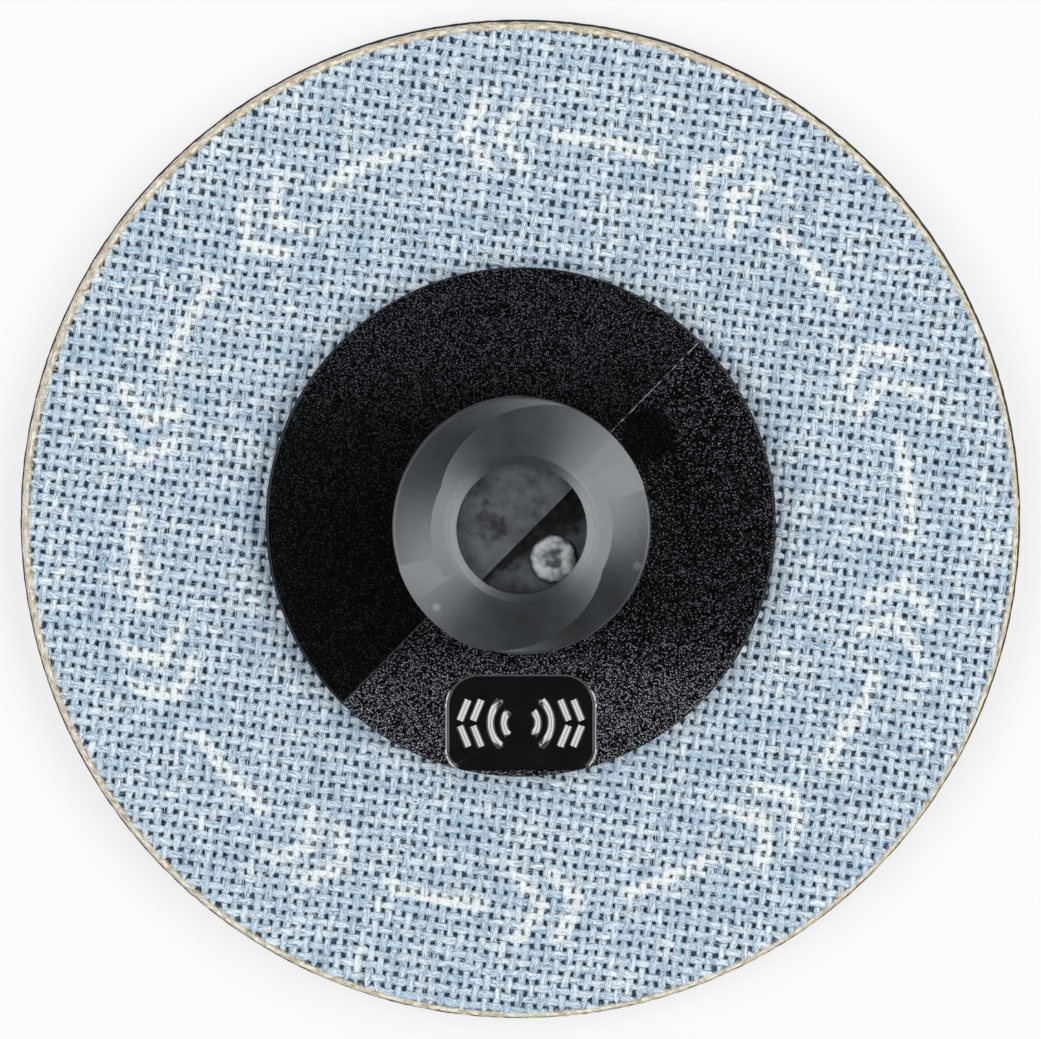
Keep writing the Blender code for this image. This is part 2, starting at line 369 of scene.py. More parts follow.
def yarnMiddle(kind, number, along):
    # middle of a yarn: up over one crossing yarn and down under the next, by a cosine
    yarn = loom[kind]
    sign = yarn["sign"] * np.where(np.asarray(number) % 2 == 0, 1, -1)
    turn = np.pi * (along / yarn["crossing"] - yarn["rises"])
    return cloth["middle"] + sign * cloth["crimp"] * np.cos(turn)


def onDisc(kind, line, along):
    # from the loom's square axes to the disc: turned, slightly bowed, and off centre with the edge
    a, b = (line, along) if kind == "warp" else (along, line)
    x = a * math.cos(cloth["turn"]) - b * math.sin(cloth["turn"])
    y = a * math.sin(cloth["turn"]) + b * math.cos(cloth["turn"])
    diceX, diceY = (np.random.default_rng(seed) for seed in cloth["bowSeeds"])
    bowX = 0.05 * mm * fieldWaves(x, y, 14 * mm, diceX)
    bowY = 0.05 * mm * fieldWaves(x, y, 17 * mm, diceY)
    shift = edgeShift(backHigh.z)
    return x + bowX + shift[0], y + bowY + shift[1]


def clothMarks(paint, x, y):
    # white direction marks on one circle: pairs of chevrons, each followed by a long dash
    marks = {
        "radius": 19.3, "units": 10, "stroke": 0.66, "turn": 0.35, "soft": 0.10,
        "tips": (-4.3, -2.4), "reach": 1.80, "slope": 0.75, "dashMiddle": 2.4, "dashReach": 2.70,
    }
    half = marks["stroke"] / 2
    soft = marks["soft"]
    unit = 2 * math.pi / marks["units"]
    angle = paint.sum("ARCTAN2", y, x) + marks["turn"]
    along = ((angle % unit) - unit / 2) * marks["radius"]
    across = abs(paint.distance(x, y) - marks["radius"])
    dash = abs(along - marks["dashMiddle"]).rise(marks["dashReach"] + soft, marks["dashReach"] - soft)
    shape = across.rise(half * 1.25, half * 0.75) * dash
    for tip in marks["tips"]:
        leg = abs(along - tip + across * marks["slope"])
        inside = across.rise(marks["reach"] + soft, marks["reach"] - soft)
        shape = shape.largest(leg.rise(half * 1.55, half * 0.95) * inside)
    return shape


def edgeFray(paint, x, y, spread, wander):
    # 1 at the punched edge of the back ply, 0 further in, with a ragged line between
    shift = edgeShift(backHigh.z) / mm
    radius = paint.distance(x - shift[0], y - shift[1])
    return (radius + wander).rise(backRadius / mm - spread, backRadius / mm - spread * 0.3)


def yarnPaint():
    # pale blue spun yarn: slanting fibre streaks, some yarns whiter, painted shade on each yarn's sides and
    # where it dips under the crossing yarns, ink on the upper side only
    paint = Paint("blue yarn", Roughness=0.95, Specular_IOR_Level=0.2)
    at, x, y, z = paint.place()
    u, v = paint.strand()
    yarn = paint.chance(v)
    fibres = paint.noise(paint.vector(u * 2.2, (v - u * 0.16) * 15, v * 0.1), 1.0, 3, 0.65)
    wisps = paint.noise(paint.vector(u * 0.8, (v + u * 0.10) * 6, 7.0), 1.0, 2, 0.5)
    grit = paint.noise(at, 13, 2, 0.6)
    patches = paint.noise(at, 0.55, 3, 0.6)
    streaks = (fibres * 0.55 + grit * 0.45).rise(0.40, 0.58)
    streaked = paint.mix(streaks, srgb(106, 138, 166), srgb(222, 234, 240))
    whiter = paint.mix(wisps.rise(0.42, 0.66) * (0.15 + yarn * 0.70), streaked, srgb(244, 248, 248))
    bluer = paint.mix((patches * 0.7 + wisps * 0.3).rise(0.47, 0.64) * 0.46, whiter, srgb(146, 177, 202))
    # painted shade: darker blue towards each yarn's sides, so that it looks rounder
    side = abs(v % 1 - 0.5).rise(0.08, 0.28)
    sideShaded = paint.mix(side * (0.15 + fibres * 0.45), bluer, srgb(124, 154, 178))
    top = backHigh.z / mm
    # painted shade: darker blue on the low parts of each yarn, where it dips under the crossing yarns
    lowShaded = paint.mix(z.rise(top - 0.29, top - 0.13), srgb(104, 132, 156), sideShaded)
    ink = clothMarks(paint, x, y) * z.rise(top - 0.20, top - 0.12)
    inked = paint.mix(ink * grit.rise(0.30, 0.50) * 0.85, lowShaded, srgb(240, 243, 242))
    frayed = edgeFray(paint, x, y, 0.27, grit * 0.3 - 0.15)
    paint.colour(frayed, inked, srgb(212, 206, 186))
    paint.bump(fibres * 0.6 + wisps * 0.2 + grit * 0.5, 0.035 * mm)
    return paint


def fillPaint():
    # the dark blue size between the yarns, and the cream pulp of the crushed edge
    paint = Paint("blue size and crushed edge", Roughness=0.85, Specular_IOR_Level=0.3)
    at, x, y, z = paint.place()
    blotch = paint.noise(at, 1.6, 3, 0.6)
    specks = paint.noise(at, 9.0, 2, 0.6)
    size = paint.mix(blotch.rise(0.3, 0.7), srgb(24, 40, 56), srgb(66, 90, 110))
    size = paint.mix(specks.rise(0.52, 0.72) * 0.7, size, srgb(140, 166, 184))
    size = paint.mix(clothMarks(paint, x, y) * specks.rise(0.35, 0.6) * 0.6, size, srgb(214, 222, 226))
    streaks = paint.noise(paint.vector(x, y, z * 7), 2.4, 4, 0.65)
    pulp = paint.mix(streaks.rise(0.34, 0.62), srgb(170, 155, 126), srgb(238, 232, 215))
    paint.colour(edgeFray(paint, x, y, 0.32, specks * 0.3 - 0.15), size, pulp)
    paint.bump(specks + streaks, 0.04 * mm)
    return paint


def layYarns():
    # each yarn is one tube from edge to edge, kept in four pieces: the lower and upper half of each set
    dice = np.random.default_rng(cloth["seed"])
    paint = yarnPaint()
    reach = backRadius - cloth["edgeInset"]
    for kind, yarn in loom.items():
        last = int(reach / yarn["pitch"])
        halves = {"low": [], "high": []}
        for number in range(-last - 1, last + 1):
            line = (number + yarn["start"]) * yarn["pitch"]
            if abs(line) > reach - 0.12 * mm:
                continue
            half = math.sqrt(reach ** 2 - line ** 2)
            steps = int(2 * half / yarn["crossing"] * cloth["stepsPerCrossing"]) + 4
            along = np.linspace(-half + dice.normal(0, 0.03) * mm, half + dice.normal(0, 0.03) * mm, steps)
            wander = 0.032 * mm * waves(along, 4.5 * mm, dice) + 0.018 * mm * waves(along, 0.8 * mm, dice)
            # slubs: the yarn swells and thins along its length, and spreads where it crosses another
            slub = 1 + 0.14 * waves(along, 2.6 * mm, dice) + 0.12 * waves(along, 0.45 * mm, dice)
            spread = 1 + 0.10 * np.cos(2 * np.pi * (along / yarn["crossing"] - yarn["rises"]))
            # cut ends narrow to a tuft, so that a slanting end keeps inside the rim
            cut = np.clip((half + 0.06 * mm - abs(along)) / cloth["cutTaper"], 0.18, 1)
            broad = yarn["width"] / 2 * np.clip(slub, 0.68, 1.38) * spread * cut
            tall = cloth["yarnHeight"] / 2 * (1 + 0.10 * waves(along, 1.3 * mm, dice))
            x, y = onDisc(kind, line + wander, along)
            path = np.stack([x, y, yarnMiddle(kind, number, along)], -1)[None]
            # numbers on the strand map stay above zero
            strandNumber = np.array([cloth["firstNumber"] + number])
            strand = tubes(path, broad[None], tall[None], yarnSection, strandNumber)
            halves["low" if line < 0 else "high"].append(strand)
        for part, strands in halves.items():
            piece = addMesh(f"{kind}_yarns_{part}", *together(strands))
            dress(piece, paint, "blue_cloth", "back_cloth")


def plyRings(low, high, dice, rough, tuck=0.0, brim=()):
    # a flat layer with a ragged rim along the leaning edge; brim rows are (inset, height) on its top
    angles = fullTurn(edge["columns"])
    share = np.linspace(0, 1, 7)
    wallHeights = low + (high - low) * share
    wallRadii = edgeRadius(wallHeights) - tuck + 0.03 * mm * np.sin(np.pi * share)
    inset, level = np.reshape(brim, (-1, 2)).T
    radii = np.concatenate([wallRadii, wallRadii[-1] - inset])[:, None]
    heights = np.concatenate([wallHeights, level])[:, None]
    x = angles * discRadius + 0 * radii
    y = np.arange(len(radii))[:, None] * 0.11 * mm + 0 * x
    ragged = fieldWaves(x, y, 0.8 * mm, dice) + 0.8 * fieldWaves(x, y, 0.22 * mm, dice)
    radii = np.minimum(radii + rough * ragged, discRadius - 0.02 * mm)
    lumps = 0.5 * rough * fieldWaves(x, y, 0.3 * mm, dice) * (heights > high)
    inner = np.full((1, len(angles)), edge["innerRadius"])
    radii = np.concatenate([inner, radii, inner])
    heights = np.concatenate([inner * 0 + low, heights + lumps, inner * 0 + heights[-1]])
    rings = turned(radii, heights, angles)
    rings[0, :, :, :2] += edgeShift(heights)
    return rings


def edgePaint(name, dark, light, streak=1.0, roughness=0.9):
    # a cut edge, streaked along the rim where the punch has drawn the fibres over
    paint = Paint(name, Roughness=roughness)
    at, x, y, z = paint.place()
    radius = paint.distance(x, y)
    around = paint.vector(x / radius * 25 * streak, y / radius * 25 * streak, (radius + z) * 9)
    fibres = paint.noise(around, 1.3, 4, 0.65)
    spots = paint.noise(at, 2.6, 3, 0.6)
    tone = paint.mix(fibres.rise(0.34, 0.62), dark, light)
    paint.colour(spots.rise(0.56, 0.72) * 0.5, tone, dark)
    paint.bump(fibres, 0.05 * mm)
    return paint


def layPlies():
    # three ragged layers up the edge: the grain ply, the glue line, and the back ply's fill
    dice = np.random.default_rng(edge["seed"])
    clothEdge = edgePaint("cream cloth edge", srgb(162, 145, 115), srgb(243, 237, 221))
    glueEdge = edgePaint("brown laminating glue", srgb(124, 102, 70), srgb(186, 166, 128), 0.6, 0.6)
    rings = plyRings(grainClothLow.z, grainClothHigh.z, dice, edge["grainPlyRough"])
    dress(addMesh("grain_ply", *loft(rings)), clothEdge, "raw_cloth", "grain_cloth")
    rings = plyRings(glueLow.z, glueHigh.z, dice, edge["glueRough"], 0.01 * mm)
    dress(addMesh("glue_line", *loft(rings)), glueEdge, "laminating_glue", "laminate_glue")
    top = backHigh.z
    fillTop = top - cloth["fillDrop"]
    brim = [(0.03 * mm, top - 0.05 * mm), (0.09 * mm, top - 0.035 * mm), (0.15 * mm, top - 0.07 * mm),
            (0.22 * mm, top - 0.13 * mm), (0.32 * mm, fillTop + 0.02 * mm), (0.50 * mm, fillTop)]
    rings = plyRings(backLow.z, top - 0.08 * mm, dice, edge["backPlyRough"], 0.0, brim)
    dress(addMesh("back_ply_fill", *loft(rings)), fillPaint(), "blue_cloth", "back_cloth")


print("cloth: laying yarns")
layYarns()
layPlies()


# loose fibres: fuzz along the yarns, hairs lying across them, and cream ones drawn along the edge

fuzz = {"count": 13000, "radius": 0.013 * mm, "seed": 41}
hairs = {
    "clothCount": 700,
    "edgeCount": 1500,
    "radius": 0.009 * mm,
    "edgeInset": 0.12 * mm,
    "steps": 6,
    "seed": 5,
}


def fibrePaint(name, blue, white, whiteShare):
    # each fibre is blue or white by its own chance, and all turn cream near the edge
    paint = Paint(name, Roughness=0.9, Specular_IOR_Level=0.2)
    x, y = paint.place()[1:3]
    strand = paint.strand()[1]
    tone = paint.mix(paint.chance(strand) > 1 - whiteShare, blue, white)
    paint.colour(edgeFray(paint, x, y, 0.40, 0), tone, srgb(224, 218, 199))
    return paint


def growFuzz():
    # fibres that follow a yarn off its centre line, on its top or bridging the gap beside it
    dice = np.random.default_rng(fuzz["seed"])
    share = np.linspace(0, 1, 3)
    strands = []
    for kind, yarn in loom.items():
        count = fuzz["count"] // 2
        last = int(backRadius / yarn["pitch"])
        number = dice.integers(-last, last, count)[:, None]
        start = dice.uniform(-backRadius, backRadius, (count, 1))
        along = start + dice.uniform(0.3, 1.1, (count, 1)) * mm * share
        off = np.clip(dice.normal(0, 0.62, (count, 1)), -1.3, 1.3) * yarn["width"] / 2
        line = (number + yarn["start"]) * yarn["pitch"] + off + dice.normal(0, 0.07, (count, 1)) * mm * share
        stand = np.sqrt(np.clip(1 - (off / yarn["width"] * 1.7) ** 2, 0, 1)) * cloth["yarnHeight"] / 2
        height = yarnMiddle(kind, number, along) * 0.8 + cloth["middle"] * 0.2 + stand + 0.012 * mm
        height = height + 0.02 * mm * np.sin(np.pi * share)
        radius = np.hypot(line, along)
        keep = (radius.max(1) < backRadius - 0.05 * mm) & (radius.min(1) > flangeRadius + 0.2 * mm)
        x, y = onDisc(kind, line[keep], along[keep])
        paths = np.stack([x, y, height[keep]], -1)
        thick = fuzz["radius"] * dice.uniform(0.7, 1.4, (len(paths), 1)) * np.array([0.6, 1, 0.5])
        strands.append(tubes(paths, thick, thick, regular(3), np.arange(len(paths))))
    paint = fibrePaint("yarn fuzz", srgb(132, 162, 186), srgb(222, 231, 236), 0.60)
    dress(addMesh("yarn_fuzz", *together(strands)), paint, "blue_cloth")


def scatterHairs():
    # each hair is a bent line: the first ones lie flat on the cloth, the rest run along the edge
    dice = np.random.default_rng(hairs["seed"])
    share = np.linspace(-0.5, 0.5, hairs["steps"])
    count = hairs["clothCount"]
    centre = np.sqrt(dice.uniform((flangeRadius + 1 * mm) ** 2, (backRadius - 1 * mm) ** 2, (count, 1)))
    angle = dice.uniform(0, 2 * np.pi, (count, 1))
    lying = dice.uniform(0, np.pi, (count, 1)) + dice.normal(0, 1.1, (count, 1)) * share
    length = dice.uniform(0.5, 1.9, (count, 1)) * mm
    flat = polar(centre, angle) + polar(length * share, lying)
    height = backHigh.z - 0.03 * mm + 0.05 * mm * np.cos(share * np.pi) * dice.uniform(0, 1, (count, 1))
    onCloth = np.dstack([flat, height])

    count = hairs["edgeCount"]
    height = dice.uniform(grainClothLow.z, backHigh.z - 0.02 * mm, (count, 1))
    height = height + 0.05 * mm * share * dice.normal(0, 1, (count, 1))
    start = dice.uniform(0, 2 * np.pi, (count, 1))
    angle = start + dice.uniform(0.3, 1.6, (count, 1)) * mm / discRadius * share
    stand = dice.uniform(-0.02, 0.045, (count, 1)) * mm
    out = edgeRadius(height) + stand + dice.normal(0, 0.05, (count, 1)) * mm * share
    flat = polar(np.minimum(out, discRadius - hairs["edgeInset"]), angle) + edgeShift(height)
    onEdge = np.dstack([flat, height])

    paths = np.concatenate([onCloth, onEdge])
    thick = hairs["radius"] * dice.uniform(0.7, 1.5, (len(paths), 1)) * np.ones(hairs["steps"])
    thick[:, [0, -1]] *= 0.4
    paint = fibrePaint("loose fibre", srgb(196, 214, 226), srgb(236, 241, 243), 0.6)
    strands = tubes(paths, thick, thick, regular(3), np.arange(len(paths)))
    dress(addMesh("loose_fibres", *strands), paint, "blue_cloth")


growFuzz()
scatterHairs()
print("cloth: done")


# grain side: angular grains bedded in resin

grains = {"spacing": 0.56 * mm, "smallest": 0.23 * mm, "largest": 0.36 * mm, "seed": 8}


def grainPaint():
    # dark angular grain under a thin coat of resin, with a few paler faces
    paint = Paint("dark abrasive grain", Specular_IOR_Level=0.6)
    at = paint.place()[0]
    grain = paint.add("ShaderNodeTexVoronoi", None, {"Vector": at, "Scale": 1.9}, "Color")
    dust = paint.noise(at, 5.0, 3, 0.6)
    body = paint.mix(paint.parts(grain)[0], srgb(26, 28, 34), srgb(62, 64, 72))
    paint.colour(dust.rise(0.5, 0.8) * 0.5, body, srgb(86, 84, 84))
    paint.feed("Roughness", 0.28 + dust * 0.4)
    paint.bump(paint.noise(at, 14, 2), 0.02 * mm)
    return paint


def resinPaint():
    # nearly black resin, whose tone and gloss follow one slow noise
    paint = Paint("dark resin coat")
    at = paint.place()[0]
    flow = paint.noise(at, 2.2, 4, 0.6)
    paint.colour(flow.rise(0.35, 0.7), srgb(14, 14, 17), srgb(40, 37, 36))
    paint.feed("Roughness", 0.35 + flow * 0.3)
    paint.bump(flow, 0.06 * mm)
    return paint


def icosahedron():
    # twelve corners at the turns of (0, 1, golden), and the twenty near triples as faces
    golden = (1 + math.sqrt(5)) / 2
    signs = np.array(list(itertools.product((0,), (-1, 1), (-golden, golden))))
    corners = np.concatenate([np.roll(signs, turn, axis=1) for turn in range(3)])
    faces = np.array(list(itertools.combinations(range(12), 3)))
    a, b, c = (corners[faces[:, k]] for k in range(3))
    sides = np.linalg.norm([a - b, b - c, c - a], axis=2)
    inward = (np.cross(b - a, c - a) * a).sum(1) < 0
    faces = np.where(inward[:, None], faces[:, ::-1], faces)
    return corners / np.linalg.norm(corners[0]), faces[(np.abs(sides - 2) < 0.01).all(0)]


def scatterGrains():
    # each grain is an icosahedron with its corners pulled in and out, stretched, then turned any way
    dice = np.random.default_rng(grains["seed"])
    corners, faces = icosahedron()
    side = np.arange(-1.1 * discRadius, 1.1 * discRadius, grains["spacing"])
    x, y = np.meshgrid(side, side * 0.93)
    offset = 0.5 * (np.arange(len(side)) % 2)[:, None]
    x = x + grains["spacing"] * (offset + dice.uniform(-0.3, 0.3, x.shape))
    y = y + grains["spacing"] * dice.uniform(-0.3, 0.3, y.shape)
    keep = np.hypot(x, y) < discRadius - grains["largest"] * 0.95
    ring = np.arange(0, 2 * np.pi, grains["spacing"] * 0.85 / discRadius)
    ringRadius = discRadius - grains["largest"] * dice.uniform(1.0, 1.25, len(ring))
    places = np.concatenate([np.stack([x[keep], y[keep]], -1), polar(ringRadius, ring)])
    count = len(places)
    size = dice.uniform(grains["smallest"], grains["largest"], (count, 1, 1))
    stretch = dice.uniform(0.70, 1.15, (count, 12, 1)) * dice.uniform(0.72, 1.15, (count, 1, 3))
    turn = np.linalg.qr(dice.normal(size=(count, 3, 3)))[0]
    turn[:, :, 0] *= np.sign(np.linalg.det(turn))[:, None]
    body = np.einsum("nij,nkj->nki", turn, corners * stretch * size)
    tip = np.maximum(dice.normal(0.03, 0.06, count), 0) * mm
    points = body + np.column_stack([places, tip - body[:, :, 2].min(1)])[:, None, :]
    radius = np.hypot(points[..., 0], points[..., 1])
    points[..., :2] *= np.minimum(1, (discRadius - 0.01 * mm) / radius)[..., None]
    tris = (faces[None] + (np.arange(count) * 12)[:, None, None]).reshape(-1, 3)
    piece = addMesh("abrasive_grains", points.reshape(-1, 3), np.zeros((0, 4), int), tris)
    dress(piece, grainPaint(), "grain_and_resin", "grain_coat", sharp=12)
    return count


resin = {"depth": 0.48 * mm, "rimRound": 0.16 * mm, "ripple": 0.05 * mm, "notch": 0.012 * mm, "seed": 31}


def layResin():
    # the bed that the grains stand in: a disc with a rippled underside and a rounded rim
    dice = np.random.default_rng(resin["seed"])
    angles = fullTurn(480)
    top = coatHigh.z
    under = top - resin["depth"]
    rim = resin["rimRound"]
    inner = np.linspace(0.4 * mm, discRadius - 0.5 * mm, 44)
    profile = np.concatenate([
        np.stack([inner, 0 * inner + under], -1),
        arc(discRadius - rim, under + rim, rim, -90, 0, 5),
        [[discRadius, top - 0.05 * mm], [discRadius - 0.03 * mm, top], [discRadius - 0.6 * mm, top]],
    ])
    radii, heights = profile.T
    x, y = np.moveaxis(polar(radii[:, None], angles), -1, 0)
    ripple = resin["ripple"] * fieldWaves(x, y, 1.3 * mm, dice) * (heights < top - 0.2 * mm)[:, None]
    notch = resin["notch"] * (fieldWaves(x, y, 0.5 * mm, dice) - 1) * (radii > discRadius - rim)[:, None]
    rings = turned(np.minimum(radii[:, None] + notch, discRadius), heights[:, None] + ripple, angles)
    dress(addMesh("resin_bed", *loft(rings)), resinPaint(), "grain_and_resin", "grain_coat")


print("grain side:", scatterGrains(), "grains")
layResin()


# hub button: flange, two-start threaded stem, recessed end, sunk pad

hub = {
    "flangeRimThickness": 0.90 * mm,
    "flangeRootThickness": 1.30 * mm,
    "flangeRimRound": 0.16 * mm,
    "flangeFootRound": 0.08 * mm,
    "coreRadius": 4.45 * mm,
    "rootRound": 0.40 * mm,
    "crownSlope": math.radians(23.5),
    "recessRadius": 3.20 * mm,
    "lipRound": 0.03 * mm,
    "lipChamfer": 0.38 * mm,
    "lipInnerSlope": math.radians(25),
    "recessDepth": 0.95 * mm,
    "floorStep": 0.40 * mm,
    "stepOffset": 0.40 * mm,
    "parting": math.radians(45.4),
    "partingStep": 0.035 * mm,
    "columns": 360,
    "pairTurn": 0.0016,
    "innerRadius": 1.0 * mm,
    "overrun": 0.4 * mm,
    "offset": 0.004 * mm,
}
hub["lipRadius"] = hub["recessRadius"] + hub["lipChamfer"] + hub["lipRound"] * math.sin(hub["lipInnerSlope"])
hub["flangeTop"] = hubLow.z + hub["flangeRootThickness"]
hub["stemTop"] = hubHigh.z
hub["recessFloor"] = hubHigh.z - hub["recessDepth"]
hub["away"] = hub["parting"] - math.pi / 2

thread = {
    "crestRadius": 6.35 * mm,
    "lead": 6.0 * mm,
    "rootWidth": 2.0 * mm,
    "crestWidth": 0.9 * mm,
    "crestRound": 0.18 * mm,
    "start": math.radians(175),
    "stepsPerTurn": 240,
}

pad = {
    "width": 7.15 * mm,
    "length": 4.60 * mm,
    "margin": 0.38 * mm,
    "floor": 0.72 * mm,
    "innerCorner": 1.50 * mm,
    "outerCorner": 1.00 * mm,
    "beadHalfWidth": 0.20 * mm,
    "beadHeight": 0.12 * mm,
    "rimPolish": 0.04 * mm,
    "lipPolish": 0.20 * mm,
}

# the pad's mouth, in mm: how far it has widened, and how high it stands off the flange's surface
padMouth = [
    (0.02, -0.170), (0.05, -0.105), (0.10, -0.055), (0.16, -0.022),
    (0.23, 0.000), (0.30, 0.012), (0.31, 0.600),
]


def partingSide(x, y):
    # how far a point lies past the parting line, on the side of the lower mould half
    return x * math.sin(hub["parting"]) - y * math.cos(hub["parting"])


def flangePaint():
    # black plastic off a spark-eroded mould, with painted glints: fine pale specks stand for the lamps'
    # glints off its grain, thick in the lower mould half, sparse in the upper one, their brightness as
    # painted light rising towards the bottom of the lower half and the top of the upper one, and none in a
    # round spot beside the stem
    paint = Paint("eroded black plastic", Specular_IOR_Level=0.2)
    at, x, y = paint.place()[:3]
    lower = partingSide(x, y) > 0
    # a round spot beside the stem, in the lower mould half, is left without specks
    roundSpot = paint.distance(x - 6.3, y - 4.4).rise(1.9, 1.0) * lower
    # painted light: the glints grow brighter and more frequent towards the bottom in the lower half and
    # towards the top in the upper one
    level = lower * (0.20 + y.rise(-4, -9) * 0.52) + (1 - lower) * y.rise(-3, 8) * 0.55
    lowerGlintGain = 0.44 + y.rise(-4, -9) * 0.33 + y.rise(1, 5) * 0.14
    glintGain = lower * lowerGlintGain + (1 - lower) * (0.10 + y.rise(4, 10) * 0.18)
    cloud = paint.noise(at, 1.3, 2, 0.6)
    dot = paint.add("ShaderNodeTexVoronoi", None, {"Vector": at, "Scale": 11}, "Distance").rise(0.62, 0.0)
    cell = paint.add("ShaderNodeTexVoronoi", None, {"Vector": at, "Scale": 11}, "Color")
    lit = (paint.parts(cell)[0] * 0.75 + level * 0.55 + cloud * 0.3 - 0.15).rise(0.25, 1.05)
    specks = dot * lit * glintGain * (1 - roundSpot * 0.9)
    # the pale specks are painted glints
    paint.colour(specks, srgb(1, 2, 3), srgb(186, 191, 204))
    paint.feed("Roughness", 0.20 + cloud * 0.05)
    paint.bump(specks, 0.02 * mm)
    return paint


def stemPaint():
    # the same plastic where the mould was smoother; the two halves differ a little in polish; painted
    # highlights: pale on the lip's left and right, and two small pale glints at the crown's edge
    cool = (0.90, 0.97, 1.0, 1)
    paint = Paint("smooth black plastic", Specular_IOR_Level=1.0, IOR=1.58, Specular_Tint=cool)
    at, x, y, z = paint.place()
    lower = partingSide(x, y).rise(-0.05, 0.05)
    flow = paint.noise(at, 0.6, 3, 0.55)
    fine = paint.noise(at, 5, 3, 0.6)
    body = paint.mix(flow.rise(0.35, 0.7), srgb(8, 10, 14), srgb(26, 30, 36))
    # painted highlights: pale colour on the lip towards its left and right, where the side lamps would shine
    # in it, and two small pale glints on the crown's edge
    lip = paint.distance(x, y).rise(3.95, 3.45) * abs(x).rise(1.6, 3.3) * (0.45 + fine * 0.6)
    crownGlint = paint.distance(x + 4.17, y + 3.87).rise(0.30, 0.08)
    crownGlints = crownGlint.largest(paint.distance(x - 5.7, y + 1.9).rise(0.30, 0.08)) * z.rise(7.6, 8.0)
    pale = (lip * 0.5).largest(crownGlints * 0.8)
    paint.colour(pale, body, srgb(104, 112, 112))
    paint.feed("Roughness", 0.36 + flow * 0.06 - lower * 0.03)
    paint.bump(fine * 0.3 + flow, 0.010 * mm)
    return paint


def recessPaint():
    # the recess's floor: mottled plastic with a paler spot at the lower left, and painted shade: dark and
    # glossy in the hollow beside the step, where the step's wall shades the lower floor
    paint = Paint("mottled recess floor", Specular_IOR_Level=0.4)
    at, x, y = paint.place()[:3]
    past = partingSide(x, y) - hub["stepOffset"] / mm
    blotch = paint.noise(at, 2.0, 2, 0.5)
    soft = paint.noise(at, 0.8, 2, 0.5)
    border = 1.0 + (x + y) * 0.16 + (soft + blotch - 1.0) * 1.6
    # painted shade: a dark band on the lower floor beside the step, which is also made glossier
    stepShade = (past > 0) * (past - border).rise(0.45, -0.35)
    scar = (paint.distance(x + 1.9, (y - 0.4) * 1.3) + (soft + blotch - 1.0) * 2.2).rise(1.7, -0.1)
    roundSpot = (paint.distance(x + 1.7, y + 1.5) + (blotch - 0.5) * 2.0).rise(1.8, 0.4)
    light = blotch * 0.34 + soft * 0.5 + (x - y).rise(4.0, -4.0) * 0.08 + roundSpot * 0.08 - scar * 0.22 + 0.03
    tone = paint.mix(light.rise(0.22, 0.68), srgb(10, 12, 17), srgb(76, 81, 86))
    paint.colour(stepShade * (1.15 - blotch * 0.5), tone, srgb(2, 3, 5))
    paint.feed("Roughness", 0.5 - stepShade * 0.22)
    paint.bump(blotch + soft, 0.05 * mm)
    return paint


def tornPaint():
    # stressed plastic goes pale where the gate broke off, and stays dark in the pits
    paint = Paint("torn gate stub", Roughness=0.6)
    at, _, _, z = paint.place()
    tear = paint.noise(at, 1.9, 3, 0.55)
    low = (hub["recessFloor"] - hub["floorStep"]) / mm
    high = z.rise(low + 0.02, low + 0.38)
    tone = (tear * 0.75 + high * 0.35).rise(0.42, 0.84)
    paint.colour(tone, srgb(44, 50, 56), srgb(162, 168, 169))
    paint.bump(tear, 0.06 * mm)
    return paint


def polishedPaint():
    # glossy black plastic under a faint haze
    paint = Paint("polished black plastic", Specular_IOR_Level=1.0, IOR=1.85)
    at = paint.place()[0]
    haze = paint.noise(at, 0.8, 3, 0.5)
    paint.colour(haze.rise(0.4, 0.7), srgb(2, 2, 3), srgb(6, 7, 9))
    paint.feed("Roughness", 0.07 + haze * 0.07)
    paint.bump(paint.noise(at, 1.1, 2), 0.004 * mm)
    return paint


def flangeSurface(radius):
    # the flange's top: a shallow cone between its rim round and the stem's root
    low = hubLow.z + hub["flangeRimThickness"]
    outer = flangeRadius - hub["flangeRimRound"]
    inner = hub["coreRadius"] + hub["rootRound"]
    return low + (outer - radius) / (outer - inner) * (hub["flangeTop"] - low)


def crownHeight(radius):
    # the stem's end outside its lip: a cone that meets the lip's round at the cone's own slope
    slope = hub["crownSlope"]
    start = hub["lipRadius"] + hub["lipRound"] * math.sin(slope)
    return hub["stemTop"] - hub["lipRound"] * (1 - math.cos(slope)) - (radius - start) * math.tan(slope)


def hubAngles():
    # even columns, with a close pair on each side of the mould's parting line
    angles = fullTurn(hub["columns"])
    lines = hub["parting"] + np.array([0, np.pi])
    angles = angles[np.abs(angles[:, None] - lines).min(1) > np.pi / hub["columns"]]
    return np.sort(np.concatenate([angles, lines - hub["pairTurn"], lines + hub["pairTurn"]]))


